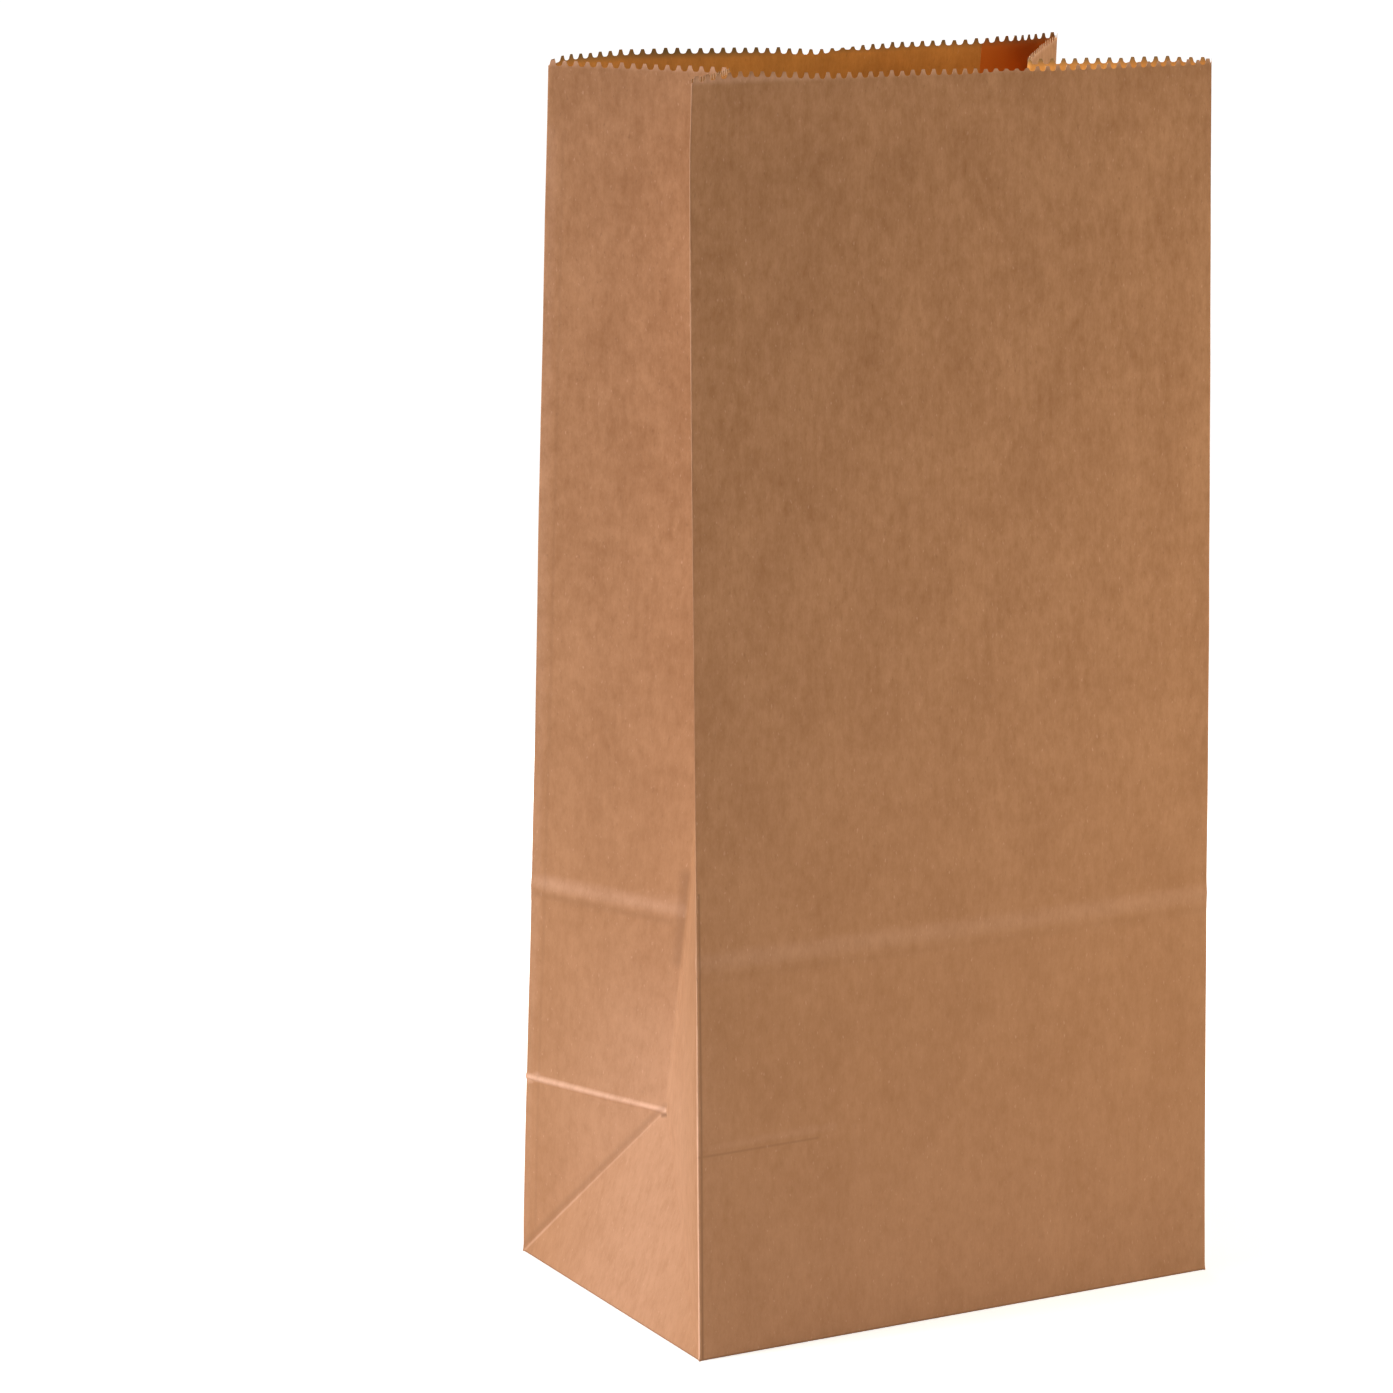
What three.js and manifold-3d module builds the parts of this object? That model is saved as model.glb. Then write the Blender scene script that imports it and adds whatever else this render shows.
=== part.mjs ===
// Brown paper lunch bag, standing open: one sheet folded into a flat-bottomed
// sack with a pleated gusset on each side and a saw-cut rim.
// Millimetres, +Z up. The origin is the middle of the underside, +X runs along
// the front panel and +Y runs from the front panel to the back panel.

import * as THREE from "three";
import { mergeVertices } from "three/addons/utils/BufferGeometryUtils.js";
import Module from "manifold-3d";

const wasm = await Module();
wasm.setup();

// Sizes of the sheet when folded
const FACE_WIDTH = 133.4; // front and back panels
const GUSSET_WIDTH = 86; // each side, laid flat
const PANEL_HEIGHT = 278; // up the sheet, from the bottom fold to the tips of the teeth
const PAPER = 0.1; // one layer

// How the bag stands open
const MOUTH_DEPTH = 64.8; // front rim to back rim
const MOUTH_DRIFT = 1.5; // the mouth stands this far to the right of the base
const PLEAT_NOSE = 0.6; // width of the rounded nose of each gusset's centre fold

// Saw-cut rim
const TOOTH_PITCH = 2.67;
const TOOTH_DEPTH = 1.1;
const TOOTH_ROOT = 1.7; // width of a tooth at the bottom of the notches
const TOOTH_TIP = 0.7; // and at its blunt tip
const COMB_REACH = 0.4; // the cutter's reach on each side of the paper
const COMB_OVERRUN = 0.5; // and past the folds at both ends of a panel

// Glued lap on the back panel, measured from the back right fold
const LAP_INSIDE = 24; // free edge seen inside the bag
const LAP_OUTSIDE = 13; // free edge seen from behind

// Bottom: two short flaps inside, covered by two long mitred flaps
const FLAP_LENGTH = 53; // of each flap, from its fold to its free edge
const FLAP_LAYERS = 3; // short flap, folded corner and long flap
const CENTRE_LAYERS = 2; // where only the long flaps cross

// Ridges pressed into the walls while the bag lay flat with its bottom folded over
const RIDGE_RISE = 0.3; // where the edge of the bottom lay
const CREASE_RISE = 0.15; // where the bottom's first fold was scored
const RIDGE_HALF_HEIGHT = 2;

const WALL_LEVELS = 6; // outlines between the ridge and the rim
const CUT_CLEARANCE = 1; // how far a cutting solid runs past what it cuts
const MITRE_OVERLAP = 0.05; // how far neighbouring cuts of the underside run into each other

// Heights and setbacks that follow from the sizes above
const LEAN = (GUSSET_WIDTH - MOUTH_DEPTH) / 2;
const RIM_Z = Math.sqrt(PANEL_HEIGHT ** 2 - LEAN ** 2);
const APEX_CREASE = GUSSET_WIDTH / 2; // the diagonal creases run at 45 degrees
const APEX_Z = Math.sqrt(APEX_CREASE ** 2 - tuck(APEX_CREASE) ** 2);
const CENTRE_FOLD = PANEL_HEIGHT - APEX_CREASE; // each leans inwards, so its end lies below the rim
const CENTRE_FOLD_Z = APEX_Z + Math.sqrt(CENTRE_FOLD ** 2 - (tuck(RIM_Z) - tuck(APEX_Z)) ** 2);
const RIDGE_Z = GUSSET_WIDTH;

// Half the distance between the front and back panels
function halfDepth(z) {
  return GUSSET_WIDTH / 2 - (LEAN * z) / RIM_Z;
}

// How far a gusset's centre fold is drawn in: each half keeps its own width
function tuck(z) {
  return Math.sqrt((GUSSET_WIDTH / 2) ** 2 - halfDepth(z) ** 2);
}

// Two points where a gusset's outline turns, as [drawn in, half spread].
// Above the apex they are the nose of the centre fold, below it they run down
// the diagonal creases to the corners of the base.
function pleat(z) {
  if (z >= APEX_Z) return [tuck(z), PLEAT_NOSE / 2];
  const rise = z / APEX_Z;
  const base = GUSSET_WIDTH / 2 - PLEAT_NOSE;
  return [rise * tuck(APEX_Z), base + rise * (PLEAT_NOSE / 2 - base)];
}

// Move every edge of a closed outline outwards, with mitred corners
function offset(outline, distance) {
  const count = outline.length;
  return outline.map((point, i) => {
    const before = point.clone().sub(outline[(i + count - 1) % count]).normalize();
    const after = outline[(i + 1) % count].clone().sub(point).normalize();
    const normal = new THREE.Vector2(before.y + after.y, -before.x - after.x).normalize();
    const cosine = normal.x * after.y - normal.y * after.x;
    return point.clone().addScaledVector(normal, distance / cosine);
  });
}

// Outline of the sheet's outer face at one height, anticlockwise from above,
// with the back panel stepping by one layer where the lap ends
function outline(z, lapEnd) {
  const side = FACE_WIDTH / 2;
  const depth = halfDepth(z);
  const [drawn, spread] = pleat(z);
  const drift = (MOUTH_DRIFT * z) / RIM_Z;
  const points = [
    [-side, -depth],
    [side, -depth],
    [side - drawn, -spread],
    [side - drawn, spread],
    [side, depth - PAPER],
    [side - lapEnd, depth - PAPER],
    [side - lapEnd, depth],
    [-side, depth],
    [-side + drawn, spread],
    [-side + drawn, -spread],
  ];
  return points.map(([x, y]) => new THREE.Vector2(x + drift, y));
}

function ridgeRise(z) {
  const near = (level) => Math.max(0, 1 - Math.abs(z - level) / RIDGE_HALF_HEIGHT);
  return RIDGE_RISE * near(RIDGE_Z) + CREASE_RISE * near(APEX_Z);
}

// Heights at which the walls change direction, between the base and the rim
function wallLevels() {
  const levels = [APEX_Z, RIDGE_Z].flatMap((z) => [z - RIDGE_HALF_HEIGHT, z, z + RIDGE_HALF_HEIGHT]);
  const start = levels.pop();
  for (let i = 0; i < WALL_LEVELS; i++) {
    levels.push(start + ((RIM_Z - start) * i) / WALL_LEVELS);
  }
  return levels;
}

function solid(geometry) {
  geometry.deleteAttribute("normal");
  geometry.deleteAttribute("uv");
  const merged = mergeVertices(geometry, 1e-6);
  const mesh = new wasm.Mesh({
    numProp: 3,
    vertProperties: new Float32Array(merged.attributes.position.array),
    triVerts: new Uint32Array(merged.index.array),
  });
  return new wasm.Manifold(mesh);
}

// Solid through a stack of outlines that have the same number of points. Each
// twisted quad is split from the lower end nearer the axis, so that the two
// halves of a gusset mirror each other.
function loft(levels, outlineAt) {
  const rings = levels.map(outlineAt);
  const count = rings[0].length;
  const positions = rings.flatMap((ring, level) => ring.flatMap((p) => [p.x, p.y, levels[level]]));
  const top = (rings.length - 1) * count;
  const faces = [];
  for (let level = 0; level < rings.length - 1; level++) {
    for (let i = 0; i < count; i++) {
      const next = (i + 1) % count;
      const [a, b] = [level * count + i, level * count + next];
      const [c, d] = [b + count, a + count];
      if (rings[level][i].length() < rings[level][next].length()) faces.push(a, b, c, a, c, d);
      else faces.push(a, b, d, b, c, d);
    }
  }
  for (const [a, b, c] of THREE.ShapeUtils.triangulateShape(rings[0], [])) faces.push(a, c, b);
  for (const [a, b, c] of THREE.ShapeUtils.triangulateShape(rings.at(-1), [])) {
    faces.push(top + a, top + b, top + c);
  }
  const geometry = new THREE.BufferGeometry();
  geometry.setAttribute("position", new THREE.Float32BufferAttribute(positions, 3));
  geometry.setIndex(faces);
  return solid(geometry);
}

// The walls with the bottom still a plain plate of all its layers
function walls() {
  const lining = FLAP_LAYERS * PAPER;
  const top = RIM_Z + CUT_CLEARANCE;
  const outerFace = loft([0, ...wallLevels(), top], (z) => offset(outline(z, LAP_OUTSIDE), ridgeRise(z)));
  const innerFace = loft([lining, ...wallLevels(), top + CUT_CLEARANCE], (z) =>
    offset(outline(z, LAP_INSIDE), ridgeRise(z) - PAPER),
  );
  return outerFace.subtract(innerFace);
}

// Thin cutter that leaves saw teeth along the rim of one panel, between the tops of two folds
function comb(from, to) {
  const run = to.clone().sub(from);
  const teeth = Math.round(run.length() / TOOTH_PITCH);
  const pitch = run.length() / teeth;
  const end = run.length() + COMB_OVERRUN;
  const headroom = RIM_Z - CENTRE_FOLD_Z + 2 * CUT_CLEARANCE;
  const profile = new THREE.Shape().moveTo(-COMB_OVERRUN, headroom);
  profile.lineTo(-COMB_OVERRUN, -TOOTH_DEPTH);
  for (let i = 0; i < teeth; i++) {
    const middle = (i + 0.5) * pitch;
    profile.lineTo(middle - TOOTH_ROOT / 2, -TOOTH_DEPTH).lineTo(middle - TOOTH_TIP / 2, 0);
    profile.lineTo(middle + TOOTH_TIP / 2, 0).lineTo(middle + TOOTH_ROOT / 2, -TOOTH_DEPTH);
  }
  profile.lineTo(end, -TOOTH_DEPTH).lineTo(end, headroom);
  const along = run.clone().normalize();
  const outwards = along.clone().cross(new THREE.Vector3(0, 0, 1)).normalize();
  const place = new THREE.Matrix4().makeBasis(along, outwards.clone().cross(along), outwards);
  place.setPosition(outwards.multiplyScalar(-COMB_REACH).add(from));
  const geometry = new THREE.ExtrudeGeometry(profile, { depth: 2 * COMB_REACH, bevelEnabled: false });
  return solid(geometry.applyMatrix4(place));
}

// One comb for each of the six panels that the folds divide the rim into
function rimCombs() {
  const rim = offset(outline(RIM_Z, LAP_OUTSIDE), -PAPER / 2).map(({ x, y }) => {
    const onCentreFold = Math.abs(y) < PLEAT_NOSE;
    return new THREE.Vector3(x, y, onCentreFold ? CENTRE_FOLD_Z : RIM_Z);
  });
  const [frontLeft, frontRight, right1, right2, backRight, , , backLeft, left2, left1] = rim;
  return [
    comb(frontLeft, frontRight),
    comb(frontRight, right1),
    comb(right2, backRight),
    comb(backRight, backLeft),
    comb(backLeft, left2),
    comb(left1, frontLeft),
  ];
}

// Solid under a sloping plane, cut from below the base. The plane is at the
// floor along the fold and rises by one layer over the given run inwards.
function wedge(points, foldPoint, inwards, risePerRun) {
  const shape = new THREE.Shape(points);
  const geometry = new THREE.ExtrudeGeometry(shape, { depth: CUT_CLEARANCE, bevelEnabled: false });
  geometry.translate(0, 0, -CUT_CLEARANCE);
  const position = geometry.attributes.position;
  for (let i = 0; i < position.count; i++) {
    if (position.getZ(i) < -CUT_CLEARANCE / 2) continue;
    const run = new THREE.Vector2(position.getX(i), position.getY(i)).sub(foldPoint).dot(inwards);
    position.setZ(i, run * risePerRun);
  }
  return solid(geometry);
}

// Underside: the front long flap lies on the floor and laps over the back long
// flap, and both lie over the triangles of the short flaps
function undersideCuts() {
  const side = FACE_WIDTH / 2;
  const back = GUSSET_WIDTH / 2;
  const crossing = side - back; // where the mitres of the two long flaps cross
  const freeEdge = FLAP_LENGTH - back; // the front flap's free edge lies past the middle
  const freeHalf = side - FLAP_LENGTH;
  const backFlap = [
    new THREE.Vector2(side, back),
    new THREE.Vector2(-side, back),
    new THREE.Vector2(-crossing, 0),
    new THREE.Vector2(-freeHalf, freeEdge),
    new THREE.Vector2(freeHalf, freeEdge),
    new THREE.Vector2(crossing, 0),
  ];
  const onto = PAPER / (back - freeEdge);
  const cuts = [wedge(backFlap, new THREE.Vector2(0, back), new THREE.Vector2(0, -1), onto)];
  for (const hand of [-1, 1]) {
    const triangle = [
      new THREE.Vector2(hand * side, -back),
      new THREE.Vector2(hand * side, back),
      new THREE.Vector2(hand * crossing, 0),
    ];
    const reach = offset(triangle, hand * MITRE_OVERLAP); // the left triangle runs clockwise
    const fold = new THREE.Vector2(hand * side, 0);
    cuts.push(wedge(reach, fold, new THREE.Vector2(-hand, 0), (CENTRE_LAYERS * PAPER) / back));
  }
  return cuts;
}

// Inside, the floor drops by one layer between the free edges of the short flaps
function centreDrop() {
  const width = FACE_WIDTH - 2 * FLAP_LENGTH;
  const depth = GUSSET_WIDTH - 4 * PAPER;
  const box = new THREE.BoxGeometry(width, depth, CUT_CLEARANCE);
  return solid(box.translate(0, 0, CENTRE_LAYERS * PAPER + CUT_CLEARANCE / 2));
}

function paperBag() {
  let bag = walls();
  for (const cutter of [...rimCombs(), ...undersideCuts(), centreDrop()]) {
    bag = bag.subtract(cutter);
  }
  const mesh = bag.getMesh();
  const geometry = new THREE.BufferGeometry();
  geometry.setAttribute("position", new THREE.BufferAttribute(mesh.vertProperties, 3));
  geometry.setIndex(new THREE.BufferAttribute(mesh.triVerts, 1));
  geometry.computeVertexNormals();
  return geometry;
}

const kraftPaper = new THREE.MeshStandardMaterial({ color: 0xa5764c, roughness: 0.9, metalness: 0 });

const lunchBag = new THREE.Group();
const paper = new THREE.Mesh(paperBag(), kraftPaper);
paper.name = "paper_bag";
lunchBag.add(paper);

export default lunchBag;
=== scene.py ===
"""Looks of a brown paper lunch bag that stands open.

The bag is modelled the way it is made: one flat sheet is laid out, cut along its creases, given its
saw-cut rim and then folded up. Lengths are in millimetres on the sheet and in metres once it is folded.
"""

import logging
import math
from collections.abc import Callable, Iterable
from dataclasses import dataclass
from enum import Enum
from functools import lru_cache

import bmesh
import bpy
from mathutils import Matrix, Vector, noise


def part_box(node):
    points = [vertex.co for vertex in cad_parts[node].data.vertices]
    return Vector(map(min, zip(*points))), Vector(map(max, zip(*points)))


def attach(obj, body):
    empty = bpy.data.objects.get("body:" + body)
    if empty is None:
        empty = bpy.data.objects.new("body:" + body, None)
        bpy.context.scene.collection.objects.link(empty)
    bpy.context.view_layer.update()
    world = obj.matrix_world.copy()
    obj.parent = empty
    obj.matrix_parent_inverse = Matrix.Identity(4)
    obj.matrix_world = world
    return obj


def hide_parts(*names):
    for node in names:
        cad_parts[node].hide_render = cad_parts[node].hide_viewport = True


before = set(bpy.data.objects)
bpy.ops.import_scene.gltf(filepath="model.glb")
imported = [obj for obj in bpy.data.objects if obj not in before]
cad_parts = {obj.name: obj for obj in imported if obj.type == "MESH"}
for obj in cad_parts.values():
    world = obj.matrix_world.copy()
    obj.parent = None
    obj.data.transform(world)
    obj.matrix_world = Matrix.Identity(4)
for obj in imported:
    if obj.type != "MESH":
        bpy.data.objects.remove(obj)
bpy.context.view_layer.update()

log = logging.getLogger("paper_bag")

MM = 0.001
# How close two places on the sheet are to count as one, in millimetres
TOLERANCE = 0.01
# How much longer the leaning panels are than the bag is high, in millimetres
LEAN = 0.2
NODE = "paper_bag"
BODY = "root"
SHEET_UV = "sheet"

Point = tuple[float, float]
Place = tuple[float, float, float]
Colour = tuple[float, float, float]
Knot = tuple[float, Vector, float]
Sheet = bmesh.types.BMesh
Face = bmesh.types.BMFace
Socket = bpy.types.NodeSocket


class Panel(Enum):
    """The five strips of the sheet between its vertical folds, in the order they lie along u."""

    BACK = 0
    LEFT = 1
    FRONT = 2
    RIGHT = 3
    LAP = 4

    @property
    def is_gusset(self) -> bool:
        """Whether the strip is one of the two pleated sides."""
        return self in (Panel.LEFT, Panel.RIGHT)


def smooth(value: float, low: float, high: float) -> float:
    """Ease from 0 at low to 1 at high."""
    share = min(1.0, max(0.0, (value - low) / (high - low)))
    return share * share * (3 - 2 * share)


def hump(value: float, middle: float, half_width: float) -> float:
    """A soft rise of height 1 round a middle value."""
    return math.exp(-(((value - middle) / half_width) ** 2))


@dataclass(frozen=True)
class Wave:
    """A soft rise or dip at one place across a panel, laid out in shares of the panel's width."""

    height: float
    middle: float
    half_width: float

    def at(self, share: float) -> float:
        """Height of the wave at a share of the way across."""
        return self.height * hump(share, self.middle, self.half_width)


@dataclass(frozen=True)
class SheetPlan:
    """Flat layout of the one sheet, in millimetres.

    u runs round the bag from the outer free edge of the glued lap: back panel, left gusset, front panel,
    right gusset, then the lap that is glued inside the back panel. v runs up from the bottom fold, so the
    bottom flaps have a negative v. A crease runs round the bag near the apex, at its own v on each panel.
    """

    face: float
    gusset: float
    height: float
    paper: float = 0.1
    teeth_per_face: int = 50
    teeth_per_gusset: int = 32
    lap_outside_teeth: int = 5
    lap_inside_teeth: int = 9
    tooth_depth: float = 1.25
    flap: float = 53.0
    apex: float = 44.5
    side_crease: float = 42.9
    back_crease: float = 44.0
    front_crease: float = 46.4
    ridge: float = 86.0

    @property
    def pitch(self) -> float:
        """Distance between two teeth of the front and back panels."""
        return self.face / self.teeth_per_face

    def teeth(self, panel: Panel) -> int:
        """Count the teeth across a panel.

        Args:
            panel: The strip of the sheet.

        Returns:
            The number of teeth along its top.
        """
        if panel.is_gusset:
            return self.teeth_per_gusset
        if panel is Panel.LAP:
            return self.lap_inside_teeth
        if panel is Panel.BACK:
            return self.teeth_per_face - self.lap_outside_teeth
        return self.teeth_per_face

    def width(self, panel: Panel) -> float:
        """Width of a panel along u."""
        return self.gusset if panel.is_gusset else self.teeth(panel) * self.pitch

    def start(self, panel: Panel) -> float:
        """The u at which a panel starts."""
        return sum(self.width(p) for p in Panel if p.value < panel.value)

    def end(self, panel: Panel) -> float:
        """The u at which a panel ends."""
        return self.start(panel) + self.width(panel)

    def centre(self, panel: Panel) -> float:
        """The u of a panel's middle line."""
        return self.start(panel) + self.width(panel) / 2

    def panel_at(self, u: float) -> Panel:
        """Find the panel that holds a place on the sheet.

        Args:
            u: Where on the sheet.

        Returns:
            The panel, of which a fold belongs to the one before it.
        """
        for panel in Panel:
            if u <= self.end(panel):
                return panel
        return Panel.LAP

    def flap_at(self, u: float) -> Panel:
        """Find the flap that holds a place below the bottom fold.

        Args:
            u: Where on the sheet.

        Returns:
            The panel of the flap, where a gusset's flap keeps both its edges.
        """
        for gusset in (Panel.LEFT, Panel.RIGHT):
            if self.start(gusset) - TOLERANCE < u < self.end(gusset) + TOLERANCE:
                return gusset
        return self.panel_at(u)

    def folds(self) -> list[float]:
        """The u of the four vertical folds."""
        return [self.start(p) for p in Panel if p is not Panel.BACK]


@dataclass(frozen=True)
class FoldLine:
    """One vertical fold of the standing bag, from the base to the rim, in millimetres.

    A fold may bow towards the back. Where the bow starts, is full and falls off again towards the rim are
    shares of the height.
    """

    base: Point
    rim: Place
    bow: float = 0.0
    bow_starts: float = 0.1
    bow_full: float = 0.75
    bow_falls: float = 0.93

    def at(self, share: float) -> Vector:
        """Follow the fold.

        Args:
            share: Share of the fold's height.

        Returns:
            The place on the fold.
        """
        x, y = (b + (r - b) * share for b, r in zip(self.base, self.rim))
        swell = self.bow * smooth(share, self.bow_starts, self.bow_full)
        swell *= 1 - smooth(share, self.bow_falls, 1.0)
        return Vector((x, y + swell, self.rim[2] * share))


@dataclass(frozen=True)
class Stance:
    """How the folded bag stands: where its folds run and how its panels sag, in millimetres."""

    plan: SheetPlan
    half_face: float
    half_depth: float
    layer: float = 0.12
    fold_softness: float = 0.5
    pleat_softness: float = 0.35
    soft_share: float = 0.4
    pleat_nose: float = 0.5
    back_left_rim: Place = (-65.3, 31.8, 277.4)
    front_left_rim: Place = (-65.1, -33.8, 278.2)
    front_right_rim: Place = (68.2, -31.0, 277.9)
    back_right_rim: Place = (68.2, 32.9, 278.3)
    front_left_bow: float = 1.1
    apex_drawn: float = 14.6
    apex_height: float = 43.4
    left_rim_drawn: float = 29.4
    left_valley_height: float = 277.0
    right_rim_drawn: float = 27.0
    right_valley_height: float = 275.9
    valley_curve: float = 2.1

    @lru_cache(maxsize=None)
    def fold_lines(self) -> dict[Panel, FoldLine]:
        """List the vertical folds.

        Returns:
            The fold at the start of each panel, going round from the back left corner.
        """
        x, y = self.half_face, self.half_depth
        return {
            Panel.LEFT: FoldLine((-x, y), self.back_left_rim),
            Panel.FRONT: FoldLine((-x, -y), self.front_left_rim, self.front_left_bow),
            Panel.RIGHT: FoldLine((x, -y), self.front_right_rim),
            Panel.LAP: FoldLine((x, y), self.back_right_rim),
        }

    def valley(self, gusset: Panel, v: float) -> Vector:
        """Follow the centre fold of a gusset, which is drawn in between the panels.

        Args:
            gusset: The left or the right gusset.
            v: Level on the sheet, at or above the apex of the diagonal creases.

        Returns:
            The place on the centre fold.
        """
        if gusset is Panel.LEFT:
            hand, rim_drawn, rim_height = -1, self.left_rim_drawn, self.left_valley_height
        else:
            hand, rim_drawn, rim_height = 1, self.right_rim_drawn, self.right_valley_height
        share = (v - self.plan.apex) / (self.plan.height - self.plan.apex)
        curve = 1 - max(0.0, 1 - share) ** self.valley_curve
        drawn = self.apex_drawn + (rim_drawn - self.apex_drawn) * curve
        height = self.apex_height + (rim_height - self.apex_height) * share
        return Vector((hand * (self.half_face - drawn), 0.0, height))

    @lru_cache(maxsize=None)
    def knots(self, v: float) -> list[Knot]:
        """List the corners of the bag's outline at one level of the sheet.

        Args:
            v: Level on the sheet, zero or more.

        Returns:
            For each corner its u, its place and how far the bend spreads to each side.
        """
        plan, lines = self.plan, self.fold_lines()
        share = v / plan.height
        corner = {panel: line.at(share) for panel, line in lines.items()}
        back = corner[Panel.LEFT] - corner[Panel.LAP]
        outside = corner[Panel.LAP] + back * (plan.lap_outside_teeth / plan.teeth_per_face)
        inside = corner[Panel.LAP] + back * (plan.lap_inside_teeth / plan.teeth_per_face)
        knots = [(0.0, outside, 0.0)]
        rise = min(1.0, v / plan.apex)
        for gusset, after in ((Panel.LEFT, Panel.FRONT), (Panel.RIGHT, Panel.LAP)):
            valley = self.valley(gusset, max(v, plan.apex))
            spread = min(plan.gusset / 2 - self.pleat_nose, rise * plan.gusset / 2)
            outer_soft = min(self.fold_softness, self.soft_share * spread)
            pleat_soft = min(self.pleat_softness, self.soft_share * spread)
            knots.append((plan.start(gusset), corner[gusset], outer_soft))
            for end, at in ((gusset, plan.start(gusset) + spread), (after, plan.end(gusset) - spread)):
                sign = 1 if lines[end].base[1] > 0 else -1
                top = valley + Vector((0, sign * self.pleat_nose, 0))
                foot = Vector((*lines[end].base, 0))
                knots.append((at, foot.lerp(top, rise) if rise < 1 else top, pleat_soft))
            knots.append((plan.end(gusset), corner[after], outer_soft))
        knots.append((plan.end(Panel.LAP), inside, 0.0))
        return knots


def bend(knots: list[Knot], u: float) -> Vector:
    """Follow an outline whose corners are rounded.

    Args:
        knots: Corners as their u, place and softness.
        u: Where on the sheet.

    Returns:
        The place in the bag's frame.
    """
    index = max(i for i in range(len(knots) - 1) if knots[i][0] <= max(u, 0.0))
    for i in (index, index + 1):
        at, corner, soft = knots[i]
        if not 0 < i < len(knots) - 1 or abs(u - at) >= soft:
            continue
        before = along(knots[i - 1], knots[i], at - soft)
        after = along(knots[i], knots[i + 1], at + soft)
        t = (u - at + soft) / (2 * soft)
        return (1 - t) ** 2 * before + 2 * t * (1 - t) * corner + t**2 * after
    return along(knots[index], knots[index + 1], u)


def along(start: Knot, end: Knot, u: float) -> Vector:
    """Place on the straight stretch between two corners."""
    span = end[0] - start[0]
    return start[1].lerp(end[1], (u - start[0]) / span) if span > 0 else start[1].copy()


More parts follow.
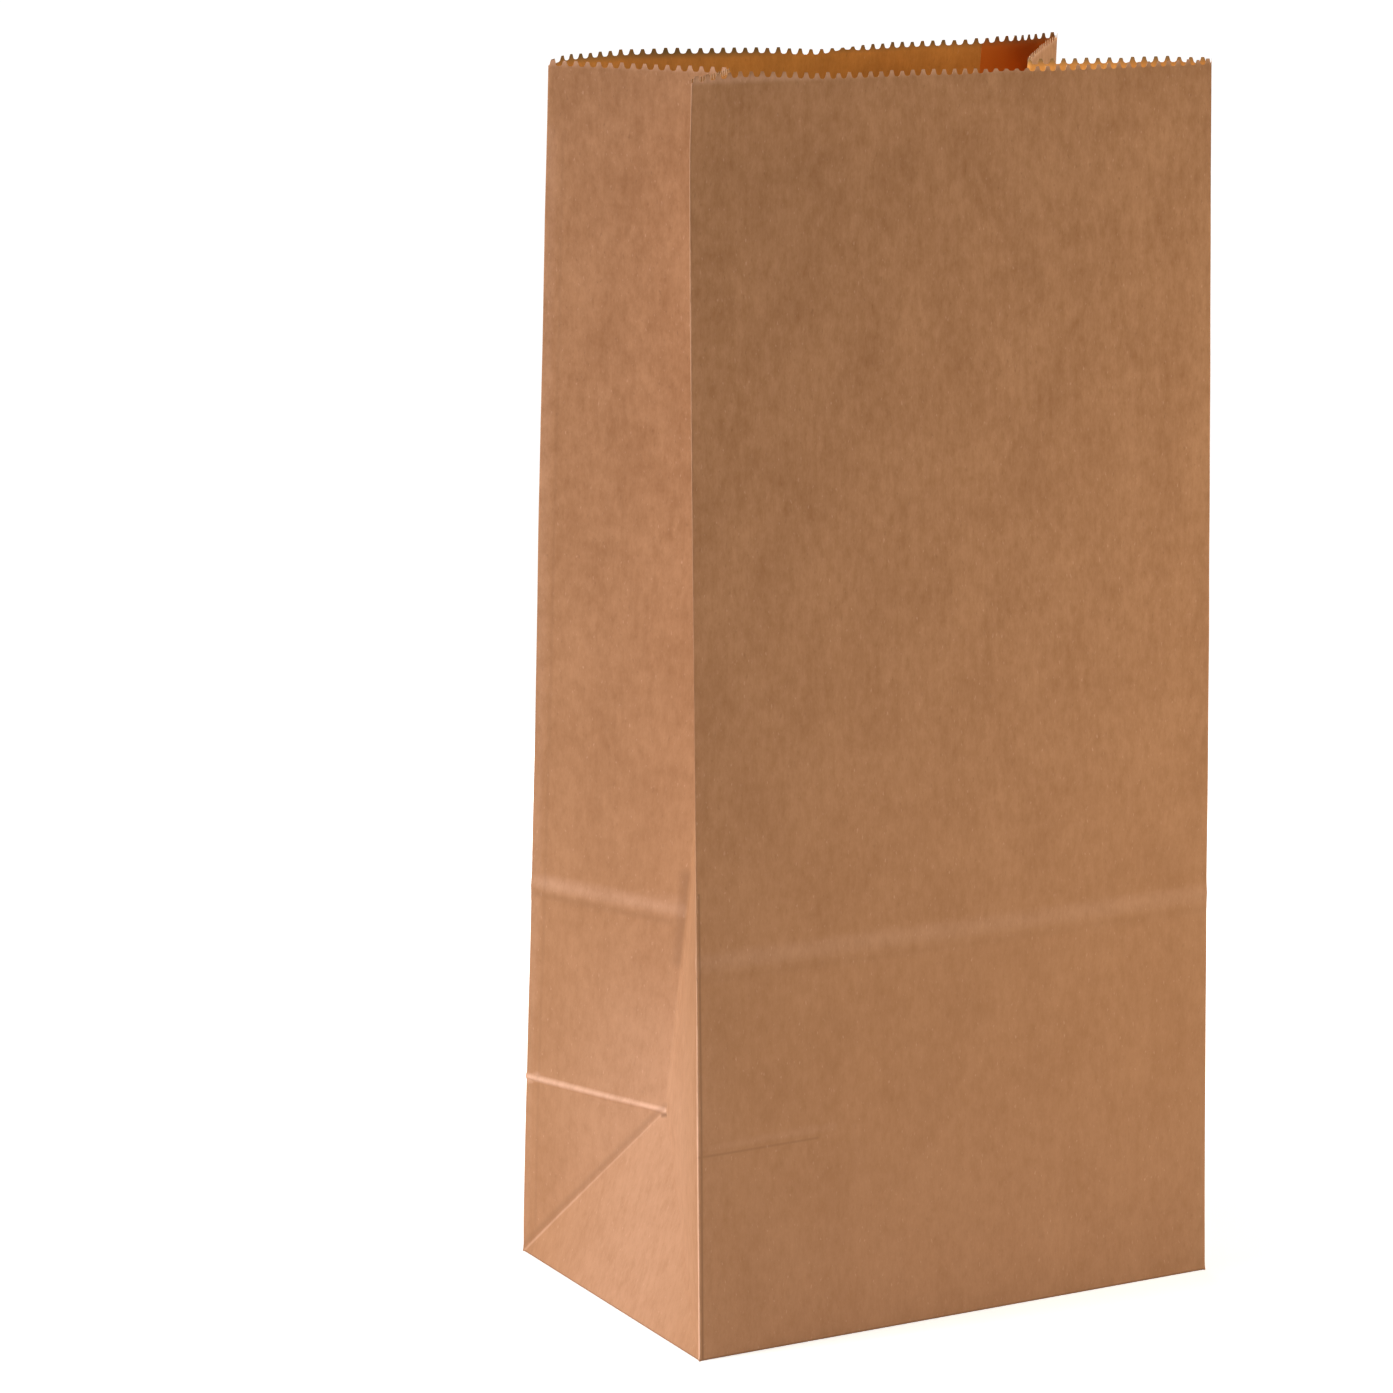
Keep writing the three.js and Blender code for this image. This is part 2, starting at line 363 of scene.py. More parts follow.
@dataclass(frozen=True)
class Relief:
    """Shallow shapes in the paper, in millimetres: pressed creases, waves of the rim and soft crumples."""

    plan: SheetPlan
    ridge_rise: float = 0.16
    ridge_foot: float = 1.3
    ridge_fall: float = 4.4
    gusset_ridge_above: float = 2.1
    side_crease_rise: float = 0.3
    side_crease_fall: float = 1.4
    front_crease_rise: float = 0.07
    back_crease_rise: float = 0.14
    crease_foot: float = 0.7
    crease_fall: float = 3.0
    dent_depth: float = 0.12
    crumple_depth: float = 0.32
    fine_crumple_depth: float = 0.09
    front_swell: float = 1.0
    gusset_swell: float = -0.5
    back_sways: tuple[Wave, ...] = (Wave(3.4, 0.15, 0.12), Wave(-3.4, 0.56, 0.2), Wave(-5.0, 0.86, 0.12))
    front_cut_drop: float = 0.3
    front_cut: tuple[Wave, ...] = (Wave(1.15, 0.1, 0.1), Wave(-0.4, 0.61, 0.045))
    back_cut_lift: float = 0.8
    back_cut: tuple[Wave, ...] = (
        Wave(0.4, 0.2, 0.13),
        Wave(0.25, 0.87, 0.04),
        Wave(-1.0, 0.515, 0.088),
        Wave(-0.25, 0.72, 0.1),
        Wave(-0.8, 0.0, 0.02),
    )
    right_cut_lift: float = 0.45
    front_blunt: Wave = Wave(0.65, 0.6, 0.05)
    back_blunt: Wave = Wave(0.6, 0.55, 0.03)

    def share(self, panel: Panel, u: float) -> float:
        """Turn a place on a panel into a share of its width.

        Args:
            panel: The panel.
            u: Where on the sheet.

        Returns:
            The share, from the left end to the right end of the front and back as seen from the front, and
            along u on a gusset.
        """
        if panel is Panel.BACK:
            return (self.plan.end(Panel.BACK) - u) / self.plan.face
        if panel is Panel.LAP:
            return 1 - (u - self.plan.start(Panel.LAP)) / self.plan.face
        return (u - self.plan.start(panel)) / self.plan.width(panel)

    def sway(self, panel: Panel, u: float, v: float) -> float:
        """Sway a whole panel, most at the rim of the back and not at all at the folds.

        Args:
            panel: The panel that swells.
            u: Where on the sheet.
            v: Level on the sheet.

        Returns:
            How far the panel stands out there.
        """
        share = self.share(panel, u)
        height = v / self.plan.height
        if panel in (Panel.BACK, Panel.LAP):
            rim = sum(wave.at(share) for wave in self.back_sways)
            return rim * height**3 * smooth(share, 0, 0.06) * smooth(1 - share, 0, 0.12)
        if panel is Panel.FRONT:
            swell = math.sin(math.pi * share) * math.sin(math.pi * min(1.0, height * 1.05))
            return self.front_swell * swell * smooth(height, 0.05, 0.5)
        half = abs(2 * share - 1)
        return self.gusset_swell * math.sin(math.pi * half) * smooth(height, 0.2, 0.6)

    def pressed(self, v: float, level: float, rise: float, fall: float, foot: float) -> float:
        """Press a crease whose lower side is steep and whose upper side runs out.

        Args:
            v: Level on the sheet.
            level: Level of the crease.
            rise: How far it stands out.
            fall: Over what distance it runs out above.
            foot: Over what distance it starts below.

        Returns:
            How far the paper stands out there.
        """
        if v < level:
            return rise * smooth(v, level - foot, level)
        return rise * (1 - smooth(v, level, level + fall))

    def creases(self, panel: Panel, u: float, v: float) -> float:
        """Press the ridge, the crease near the apex and the dent at the foot of the front.

        Args:
            panel: The panel that is creased.
            u: Where on the sheet.
            v: Level on the sheet.

        Returns:
            How far the paper stands out there.
        """
        plan, share = self.plan, self.share(panel, u)
        fade, level = 1.0, plan.ridge
        if panel is Panel.FRONT:
            fade = 1 - 0.5 * smooth(share, 0.6, 1.0)
        elif panel.is_gusset:
            across = 2 * min(share, 1 - share)
            fade, level = 1 - smooth(across, 0.75, 1.0), level + self.gusset_ridge_above
        rise = self.pressed(v, level, self.ridge_rise * fade, self.ridge_fall, self.ridge_foot)
        if panel is Panel.FRONT:
            faint = self.front_crease_rise * (1 - smooth(share, 0.1, 0.4))
            rise += self.pressed(v, plan.front_crease, faint, self.crease_fall, self.crease_foot)
            dent = hump(u - plan.start(panel), 11.5, 2.2) * smooth(v, 4, 14) * (1 - smooth(v, 34, 46))
            rise -= self.dent_depth * dent
        elif panel is Panel.LEFT:
            level = plan.side_crease + (plan.apex - plan.side_crease) * min(1.0, 2 * share)
            faint = self.side_crease_rise * (1 - smooth(share, 0.45, 0.5))
            rise += self.pressed(v, level, faint, self.side_crease_fall, self.crease_foot)
        elif panel in (Panel.BACK, Panel.LAP):
            faint = self.back_crease_rise
            rise += self.pressed(v, plan.back_crease, faint, self.crease_fall, self.crease_foot)
        return rise

    def crumple(self, u: float, v: float) -> float:
        """Crumple the paper softly, in swells that are longer up the bag than across it.

        Args:
            u: Where on the sheet.
            v: Level on the sheet.

        Returns:
            How far the paper stands out there.
        """
        large = noise.noise(Vector((u / 34, v / 80, 1.7)))
        small = noise.noise(Vector((u / 11, v / 23, 9.2)))
        return (self.crumple_depth * large + self.fine_crumple_depth * small) * smooth(v, 0, 12)

    def rim_lift(self, panel: Panel, u: float) -> float:
        """Let the saw cut run unevenly.

        Args:
            panel: The panel that is cut.
            u: Where on the sheet.

        Returns:
            How far the cut runs above its straight line.
        """
        share = self.share(panel, u)
        if panel is Panel.FRONT:
            uneven = sum(wave.at(share) for wave in self.front_cut)
            return uneven - self.front_cut_drop * smooth(share, 0.4, 0.55)
        if panel in (Panel.BACK, Panel.LAP):
            return self.back_cut_lift + sum(wave.at(share) for wave in self.back_cut)
        if panel is Panel.RIGHT:
            return self.right_cut_lift * smooth(share, 0.02, 0.1)
        return 0.0

    def bite(self, panel: Panel, u: float) -> float:
        """Blunt the teeth in the middle of the front and of the back.

        Args:
            panel: The panel that is cut.
            u: Where on the sheet.

        Returns:
            The share of their full depth that the saw's teeth reached.
        """
        share = self.share(panel, u)
        if panel is Panel.FRONT:
            return 1 - self.front_blunt.at(share)
        if panel is Panel.BACK:
            return 1 - self.back_blunt.at(share)
        return 1.0


@dataclass(frozen=True)
class PaperBag:
    """The whole bag: one sheet, laid out flat in millimetres, creased, cut and folded."""

    plan: SheetPlan
    stance: Stance
    relief: Relief
    fold_offsets: tuple[float, ...] = (-0.9, -0.5, -0.25, 0.0, 0.25, 0.5, 0.9)
    diagonal_offsets: tuple[float, ...] = (-0.35, 0.0, 0.35)
    crease_offsets: tuple[float, ...] = (-0.7, -0.35, 0.0, 0.6, 1.4, 3.0, 4.6)
    crease_clear: tuple[float, float] = (-0.8, 3.2)
    ridge_shoulder: float = 3.6
    flap_rows: tuple[float, ...] = (-40.0, -30.0, -20.0, -10.0, -5.0, -2.0)
    foot_rows: tuple[float, ...] = (2.0, 4.0, 8.0, 13.0)
    first_wall_row: float = 18.0
    row_step: float = 5.0
    row_gap: float = 0.12
    top_rows: tuple[float, ...] = (16.0, 12.0, 8.5, 5.5, 3.2, 1.9)
    tooth_cuts: int = 7
    tooth_half: float = 0.27
    tooth_slope: float = 0.1
    tooth_unevenness: float = 0.2
    right_teeth_late: float = 0.375
    tangent_reach: float = 0.3
    lap_step: tuple[float, float] = (-0.5, 2.0)
    short_flap_inset: float = 0.6
    short_flap_layers: float = 2.6
    sharp_angle: float = 32.0

    def levels(self) -> list[float]:
        """List the rows of the mesh, which are closer near the creases and the rim.

        Returns:
            Every v at which the sheet gets a row of edges.
        """
        plan = self.plan
        rows = [*self.flap_rows, *self.fold_offsets, *self.foot_rows]
        row = self.first_wall_row
        while row < plan.height - self.top_rows[0]:
            rows.append(row)
            row += self.row_step
        low, high = self.crease_clear
        shoulder = plan.ridge + self.ridge_shoulder
        for crease in (plan.side_crease, plan.apex, plan.front_crease, plan.ridge, shoulder):
            rows = [r for r in rows if not crease + low < r < crease + high]
            rows += [crease + offset for offset in self.crease_offsets]
        rows += [plan.height - below for below in self.top_rows]
        kept: list[float] = []
        for row in sorted(rows):
            if not kept or row - kept[-1] > self.row_gap:
                kept.append(row)
        return kept

    def lay_out(self, mesh: Sheet) -> None:
        """Lay the panels side by side as one flat sheet with its columns, rows and diagonal creases.

        Args:
            mesh: The empty mesh that becomes the flat sheet.
        """
        plan = self.plan
        tall = plan.height + plan.flap
        for panel in Panel:
            place = Matrix.Translation((plan.centre(panel), tall / 2 - plan.flap, 0))
            place @= Matrix.Diagonal((plan.width(panel), tall, 1, 1))
            bmesh.ops.create_grid(mesh, x_segments=plan.teeth(panel), y_segments=1, size=0.5, matrix=place)
        bmesh.ops.remove_doubles(mesh, verts=mesh.verts, dist=TOLERANCE)
        for level in self.levels():
            self.cut(mesh, (0, level), (0, 1), lambda face: True)
        for fold in plan.folds():
            for offset in self.fold_offsets:
                self.cut(mesh, (fold + offset, 0), (1, 0), lambda face: True)
        for gusset in (Panel.LEFT, Panel.RIGHT):
            for offset in self.fold_offsets:
                self.cut(mesh, (plan.centre(gusset) + offset, 0), (1, 0), lambda face: True)
            self.crease_diagonals(mesh, gusset)
        self.trim_flaps(mesh)

    def cut(self, mesh: Sheet, point: Point, across: Point, wanted: Callable[[Face], bool]) -> None:
        """Run a line of edges over part of the flat sheet.

        Args:
            mesh: The flat sheet.
            point: A place on the line.
            across: Direction square to the line.
            wanted: Picks the faces that the line cuts.
        """
        faces = [face for face in mesh.faces if wanted(face)]
        edges = {edge for face in faces for edge in face.edges}
        verts = {vert for face in faces for vert in face.verts}
        parts = [*verts, *edges, *faces]
        bmesh.ops.bisect_plane(mesh, geom=parts, dist=0.001, plane_co=(*point, 0), plane_no=(*across, 0))

    def crease_diagonals(self, mesh: Sheet, gusset: Panel) -> None:
        """Cut the two creases that run from the base corners to the apex on the centre fold.

        Args:
            mesh: The flat sheet.
            gusset: The left or the right gusset.
        """
        plan = self.plan
        half = plan.gusset / 2
        for end, hand in ((plan.start(gusset), 1), (plan.end(gusset), -1)):

            def near(face: Face, end: float = end, hand: int = hand) -> bool:
                """Whether a face is in the corner that the crease crosses."""
                at = face.calc_center_median()
                return 0 < hand * (at.x - end) < half and 0 < at.y < plan.apex

            for offset in self.diagonal_offsets:
                self.cut(mesh, (end + offset, 0), (plan.apex, -hand * half), near)

    def trim_flaps(self, mesh: Sheet) -> None:
        """Mitre the long flaps of the front and back panels at 45 degrees.

        Args:
            mesh: The flat sheet.
        """
        plan = self.plan
        mitres = (
            (plan.end(Panel.BACK), -1, Panel.BACK),
            (plan.start(Panel.FRONT), 1, Panel.FRONT),
            (plan.end(Panel.FRONT), -1, Panel.FRONT),
            (plan.start(Panel.LAP), 1, Panel.LAP),
        )
        for corner, hand, panel in mitres:

            def on_flap(face: Face, panel: Panel = panel) -> bool:
                """Whether a face belongs to the flap of the panel."""
                at = face.calc_center_median()
                return at.y < 0 and plan.panel_at(at.x) is panel

            self.cut(mesh, (corner, 0), (hand, 1), on_flap)
            flap = [(face, face.calc_center_median()) for face in mesh.faces if on_flap(face)]
            waste = [face for face, at in flap if hand * (at.x - corner) + at.y < 0]
            bmesh.ops.delete(mesh, geom=waste, context="FACES")

    def saw_rim(self, mesh: Sheet) -> None:
        """Cut the teeth: each stretch of the top edge is divided and its points moved to the saw line.

        Args:
            mesh: The flat sheet.
        """
        plan = self.plan
        top = {vert for vert in mesh.verts if abs(vert.co.y - plan.height) < TOLERANCE}
        edges = [edge for edge in mesh.edges if top.issuperset(edge.verts)]
        long_edges = [edge for edge in edges if edge.calc_length() > 0.5 * plan.pitch]
        bmesh.ops.subdivide_edges(mesh, edges=long_edges, cuts=self.tooth_cuts)
        for vert in mesh.verts:
            if abs(vert.co.y - plan.height) < TOLERANCE:
                vert.co.y += self.saw_line(vert.co.x)

    def saw_line(self, u: float) -> float:
        """Follow the saw cut.

        Args:
            u: Where on the sheet.

        Returns:
            How far the cut runs above the level of the tips of the teeth.
        """
        plan = self.plan
        panel = plan.panel_at(u)
        pitch = plan.width(panel) / plan.teeth(panel)
        late = self.right_teeth_late if panel is Panel.RIGHT else 0.0
        count, phase = divmod((u - plan.start(panel)) / pitch - late, 1.0)
        tooth = min(1.0, max(0.0, (self.tooth_half - abs(phase - 0.5)) / self.tooth_slope))
        uneven = self.tooth_unevenness * noise.noise(Vector((count * 1.37, panel.value * 7.1, 0.4)))
        depth = plan.tooth_depth * self.relief.bite(panel, u)
        return depth * ((1 + uneven) * tooth - 1) + self.relief.rim_lift(panel, u)

    def standing(self, u: float, v: float) -> Vector:
        """Stand a point of the walls up.

        Args:
            u: Where on the sheet.
            v: Level on the sheet, zero or more.

        Returns:
            The place of the point, moved outwards by the relief of the paper.
        """
        panel = self.plan.panel_at(u)
        knots = self.stance.knots(v)
        ahead = bend(knots, min(u + self.tangent_reach, self.plan.end(Panel.LAP)))
        behind = bend(knots, max(u - self.tangent_reach, 0.0))
        tangent = (ahead - behind).normalized()
        outwards = Vector((tangent.y, -tangent.x, 0)).normalized()
        rise = self.relief.sway(panel, u, v) + self.relief.creases(panel, u, v) + self.relief.crumple(u, v)
        if panel is Panel.LAP:
            rise -= self.stance.layer * smooth(u - self.plan.start(Panel.LAP), *self.lap_step)
        return bend(knots, u) + outwards * rise

    def tucked(self, u: float, run: float) -> Vector:
        """Tuck a point of the bottom flaps under the bag.

        Args:
            u: Where on the sheet.
            run: Distance from the bottom fold.

        Returns:
            The place of the point in its layer of the bottom.
        """
        panel, stance = self.plan.flap_at(u), self.stance
        share = self.relief.share(panel, u)
        x = stance.half_face * (2 * share - 1)
        overlap = self.plan.flap - stance.half_depth
        rise = smooth(run, 0, stance.half_depth - overlap) * stance.layer
        if panel is Panel.FRONT:
            return Vector((x, run - stance.half_depth, 0))
        if panel is Panel.BACK:
            return Vector((x, stance.half_depth - run, rise))
        if panel is Panel.LAP:
            return Vector((x, stance.half_depth - run, rise + stance.layer))
        hand = -1 if panel is Panel.LEFT else 1
        inset = self.short_flap_inset * smooth(run, 0, 2)
        y = -hand * (stance.half_depth - inset) * (1 - 2 * share)
        lift = (0.5 + self.short_flap_layers * smooth(run, 0, 7)) * stance.layer
        return Vector((hand * (stance.half_face - run), y, lift))

    def folded(self, u: float, v: float) -> Vector:
        """Fold any point of the sheet into its place, with a rounded bottom fold.

        Args:
            u: Where on the sheet.
            v: Level on the sheet.

        Returns:
            The place of the point on the standing bag, in millimetres.
        """
        corner = min(abs(u - fold) for fold in self.plan.folds())
        soft = min(self.stance.fold_softness, 0.5 * corner)
        if abs(v) >= soft:
            return self.standing(u, v) if v >= 0 else self.tucked(u, -v)
        t = (soft - v) / (2 * soft)
        fold = (self.standing(u, 0) + self.tucked(u, 0)) / 2
        return (1 - t) ** 2 * self.standing(u, soft) + 2 * t * (1 - t) * fold + t**2 * self.tucked(u, soft)

    def build(self) -> bpy.types.Object:
        """Make the folded bag.

        Returns:
            The bag as one object whose UV map holds each point's place on the flat sheet.
        """
        mesh = bmesh.new()
        self.lay_out(mesh)
        self.saw_rim(mesh)
        layer = mesh.loops.layers.uv.new(SHEET_UV)
        for face in mesh.faces:
            for loop in face.loops:
                loop[layer].uv = loop.vert.co.xy
        for vert in mesh.verts:
            vert.co = self.folded(vert.co.x, vert.co.y) * MM
        for face in mesh.faces:
            face.smooth = True
        data = bpy.data.meshes.new("folded_sheet")
        mesh.to_mesh(data)
        mesh.free()
        data.set_sharp_from_angle(angle=math.radians(self.sharp_angle))
        bag = bpy.data.objects.new("folded_bag", data)
        bpy.context.scene.collection.objects.link(bag)
        shell = bag.modifiers.new("paper thickness", "SOLIDIFY")
        shell.thickness = self.plan.paper * MM
        shell.offset = -1
        shell.use_rim = True
        shell.material_offset = 1
        shell.material_offset_rim = 2
        shading = bag.modifiers.new("flat up to the cut edge", "WEIGHTED_NORMAL")
        shading.keep_sharp = True
        return bag

    def dress(self, bag: bpy.types.Object, finishes: Iterable["PaperFinish"]) -> None:
        """Give the paper its finishes.

        Args:
            bag: The folded bag.
            finishes: Those of the outer face, the inner face and the cut edge, in this order.
        """
        for finish in finishes:
            bag.data.materials.append(finish.build(self.plan))


class Graph:
    """A node tree, with short calls for the nodes that the finishes use."""

    def __init__(self, tree: bpy.types.NodeTree) -> None:
        """Start from an empty tree."""
        self.tree = tree
        tree.nodes.clear()

    def node(self, kind: str, **settings: object) -> bpy.types.Node:
        """Add a node.

        Args:
            kind: Type of the node.
            **settings: The node's own properties.

        Returns:
            The node.
        """
        node = self.tree.nodes.new(kind)
        for name, value in settings.items():
            setattr(node, name, value)
        return node

    def put(self, socket: Socket, value: object) -> None:
        """Feed an input.

        Args:
            socket: The input.
            value: The output that feeds it, or its own value.
        """
        if isinstance(value, Socket):
            self.tree.links.new(value, socket)
        else:
            socket.default_value = value

    def feed(self, node: bpy.types.Node, **values: object) -> bpy.types.Node:
        """Feed a node's inputs by name.

        Args:
            node: The node.
            **values: What feeds each input, with _ for a space in its name.

        Returns:
            The same node.
        """
        for name, value in values.items():
            self.put(node.inputs[name.replace("_", " ")], value)
        return node

    def fill(self, node: bpy.types.Node, values: Iterable[object]) -> bpy.types.Node:
        """Feed a node's inputs in their order.

        Args:
            node: The node.
            values: What feeds its first inputs.

        Returns:
            The same node.
        """
        for socket, value in zip(node.inputs, values):
            self.put(socket, value)
        return node

    def math(self, operation: str, *values: object, clamp: bool = False) -> Socket:
        """Add a Math node and give its result."""
        node = self.node("ShaderNodeMath", operation=operation, use_clamp=clamp)
        return self.fill(node, values).outputs[0]

    def vector(self, operation: str, *values: object) -> bpy.types.Node:
        """Add a Vector Math node, whose result the caller picks."""
        return self.fill(self.node("ShaderNodeVectorMath", operation=operation), values)

    def noise(self, vector: Socket, squeeze: Place, **settings: float) -> Socket:
        """Add a Noise Texture, about 0.5 on average, whose scale also differs from axis to axis."""
        place = self.vector("MULTIPLY", vector, squeeze).outputs[0]
        return self.feed(self.node("ShaderNodeTexNoise"), Vector=place, **settings).outputs[0]

    def ramp(self, value: Socket, low: object, high: object, start: float = 0.0, end: float = 1.0) -> Socket:
        """Map the range from low to high to the one from start to end, with soft ends."""
        node = self.node("ShaderNodeMapRange", interpolation_type="SMOOTHSTEP", clamp=True)
        return self.fill(node, (value, low, high, start, end)).outputs[0]

    def mix(self, share: object, first: object, second: object) -> Socket:
        """Mix two colours.

        Args:
            share: Share of the second colour.
            first: First colour.
            second: Second colour.

        Returns:
            The mixed colour.
        """
        node = self.node("ShaderNodeMix", data_type="RGBA")
        for socket, value in ((node.inputs[0], share), (node.inputs[6], first), (node.inputs[7], second)):
            self.put(socket, (*value, 1.0) if isinstance(value, tuple) else value)
        return node.outputs[2]

    def group(self, tree: bpy.types.NodeTree, **values: object) -> bpy.types.Node:
        """Place a node group and feed its inputs by name."""
        return self.feed(self.node("ShaderNodeGroup", node_tree=tree), **values)


def new_group(
    name: str, inputs: dict[str, str], outputs: dict[str, str]
) -> tuple[Graph, bpy.types.Node, bpy.types.Node]:
    """Start a shader node group.

    Args:
        name: Name of the group.
        inputs: Socket type of each input, by name.
        outputs: Socket type of each output, by name.

    Returns:
        The group's graph, its input node and its output node.
    """
    tree = bpy.data.node_groups.new(name, "ShaderNodeTree")
    graph = Graph(tree)
    for sockets, direction in ((inputs, "INPUT"), (outputs, "OUTPUT")):
        for label, kind in sockets.items():
            tree.interface.new_socket(label, in_out=direction, socket_type=f"NodeSocket{kind}")
    return graph, graph.node("NodeGroupInput"), graph.node("NodeGroupOutput")


def line_group() -> bpy.types.NodeTree:
    """Build the mask of a line painted on the sheet between two points, with soft sides.

    Returns:
        The shader node group.
    """
    graph, source, target = new_group(
        "painted line",
        {"Sheet": "Vector", "Start": "Vector", "End": "Vector", "Half Width": "Float"},
        {"Line": "Float"},
    )
    run = graph.vector("SUBTRACT", source.outputs["End"], source.outputs["Start"]).outputs[0]
    place = graph.vector("SUBTRACT", source.outputs["Sheet"], source.outputs["Start"]).outputs[0]
    length = graph.vector("DOT_PRODUCT", run, run).outputs["Value"]
    reach = graph.vector("DOT_PRODUCT", place, run).outputs["Value"]
    share = graph.math("DIVIDE", reach, length, clamp=True)
    foot = graph.feed(graph.vector("SCALE", run), Scale=share)
    gap = graph.vector("DISTANCE", place, foot.outputs[0]).outputs["Value"]
    graph.feed(target, Line=graph.ramp(gap, source.outputs["Half Width"], 0.0))
    return graph.tree


def pulp_group() -> bpy.types.NodeTree:
    """Build the pulp of kraft paper: clouds, fibres along the sheet, dark and pale flecks, a fine height.

    Returns:
        The shader node group.
    """
    graph, source, target = new_group(
        "kraft pulp",
        {"Sheet": "Vector"},
        {"Tone": "Float", "Dark Fleck": "Float", "Pale Fleck": "Float", "Height": "Float"},
    )
    sheet = source.outputs["Sheet"]
    cloud = graph.noise(sheet, (1.0, 0.5, 1.0), Scale=0.09, Detail=3.0, Roughness=0.6)
    mottle = graph.noise(sheet, (1.0, 0.6, 1.0), Scale=0.42, Detail=2.0, Roughness=0.55)
    streak = graph.noise(sheet, (1.0, 0.25, 1.0), Scale=0.95, Detail=3.0, Roughness=0.6)
    hair = graph.noise(sheet, (1.0, 0.4, 1.0), Scale=2.4, Detail=2.0, Roughness=0.6)
    grain = graph.noise(sheet, (1.0, 1.0, 1.0), Scale=3.4, Detail=2.0, Roughness=0.7)
    fleck = graph.noise(sheet, (1.0, 0.38, 1.0), Scale=1.3, Detail=2.0, Roughness=0.65)
    pale = graph.noise(sheet, (1.0, 0.4, 3.0), Scale=1.7, Detail=1.0, Roughness=0.5)
    tone: object = 0.0
    for layer, weight in ((cloud, 0.32), (mottle, 0.3), (streak, 0.2), (hair, 0.18)):
        tone = graph.math("ADD", tone, graph.math("MULTIPLY", layer, weight))
    height = graph.math("ADD", graph.math("MULTIPLY", grain, 0.4), graph.math("MULTIPLY", streak, 0.6))
    graph.feed(
        target,
        Tone=graph.ramp(tone, 0.26, 0.74),
        Dark_Fleck=graph.ramp(fleck, 0.62, 0.76),
        Pale_Fleck=graph.ramp(pale, 0.66, 0.8),
        Height=height,
    )
    return graph.tree


@dataclass(frozen=True)
class PaintedLine:
    """A line painted into the colour of the paper, in millimetres on the sheet: rubbed fibres on a crease, a
    painted highlight, painted sheen or painted shade.
    """

    start: Point
    end: Point
    half_width: float
    strength: float


